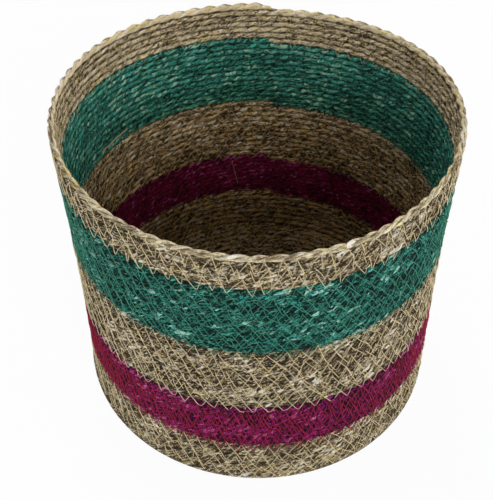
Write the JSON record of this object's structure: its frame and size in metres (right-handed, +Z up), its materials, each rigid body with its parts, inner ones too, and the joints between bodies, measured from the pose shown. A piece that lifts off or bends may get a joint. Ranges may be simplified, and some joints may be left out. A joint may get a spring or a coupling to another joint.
{
  "type": "grass basket",
  "caption": "Round open storage basket of grass cord: a flat spiral base and a slightly flared wall of sewn rows in natural, teal and magenta bands.",
  "frame": {"origin": "middle of the underside, on the surface that the basket stands on", "axes": "+Z up through the mouth; +Y towards the back, where the cord of the rim ends; +X to the right seen from the front"},
  "size_m": [0.2521, 0.2453, 0.2],
  "materials": {
    "natural_cord": "twisted dry grass cord, natural khaki tan",
    "teal_cord": "twisted grass cord dyed deep teal",
    "magenta_cord": "finer twisted grass cord dyed berry magenta",
    "natural_thread": "straw-coloured sewing twine",
    "teal_thread": "green sewing twine",
    "magenta_thread": "crimson sewing twine"
  },
  "bodies": {
    "root": {"base_coil": "natural_cord", "lower_wall_cord": "natural_cord", "magenta_wall_cord": "magenta_cord", "middle_wall_cord": "natural_cord", "teal_wall_cord": "teal_cord", "rim_cord": "natural_cord", "magenta_thread": "magenta_thread", "middle_thread": "natural_thread", "teal_thread": "teal_thread", "rim_thread": "natural_thread"}
  },
  "joints": []
}
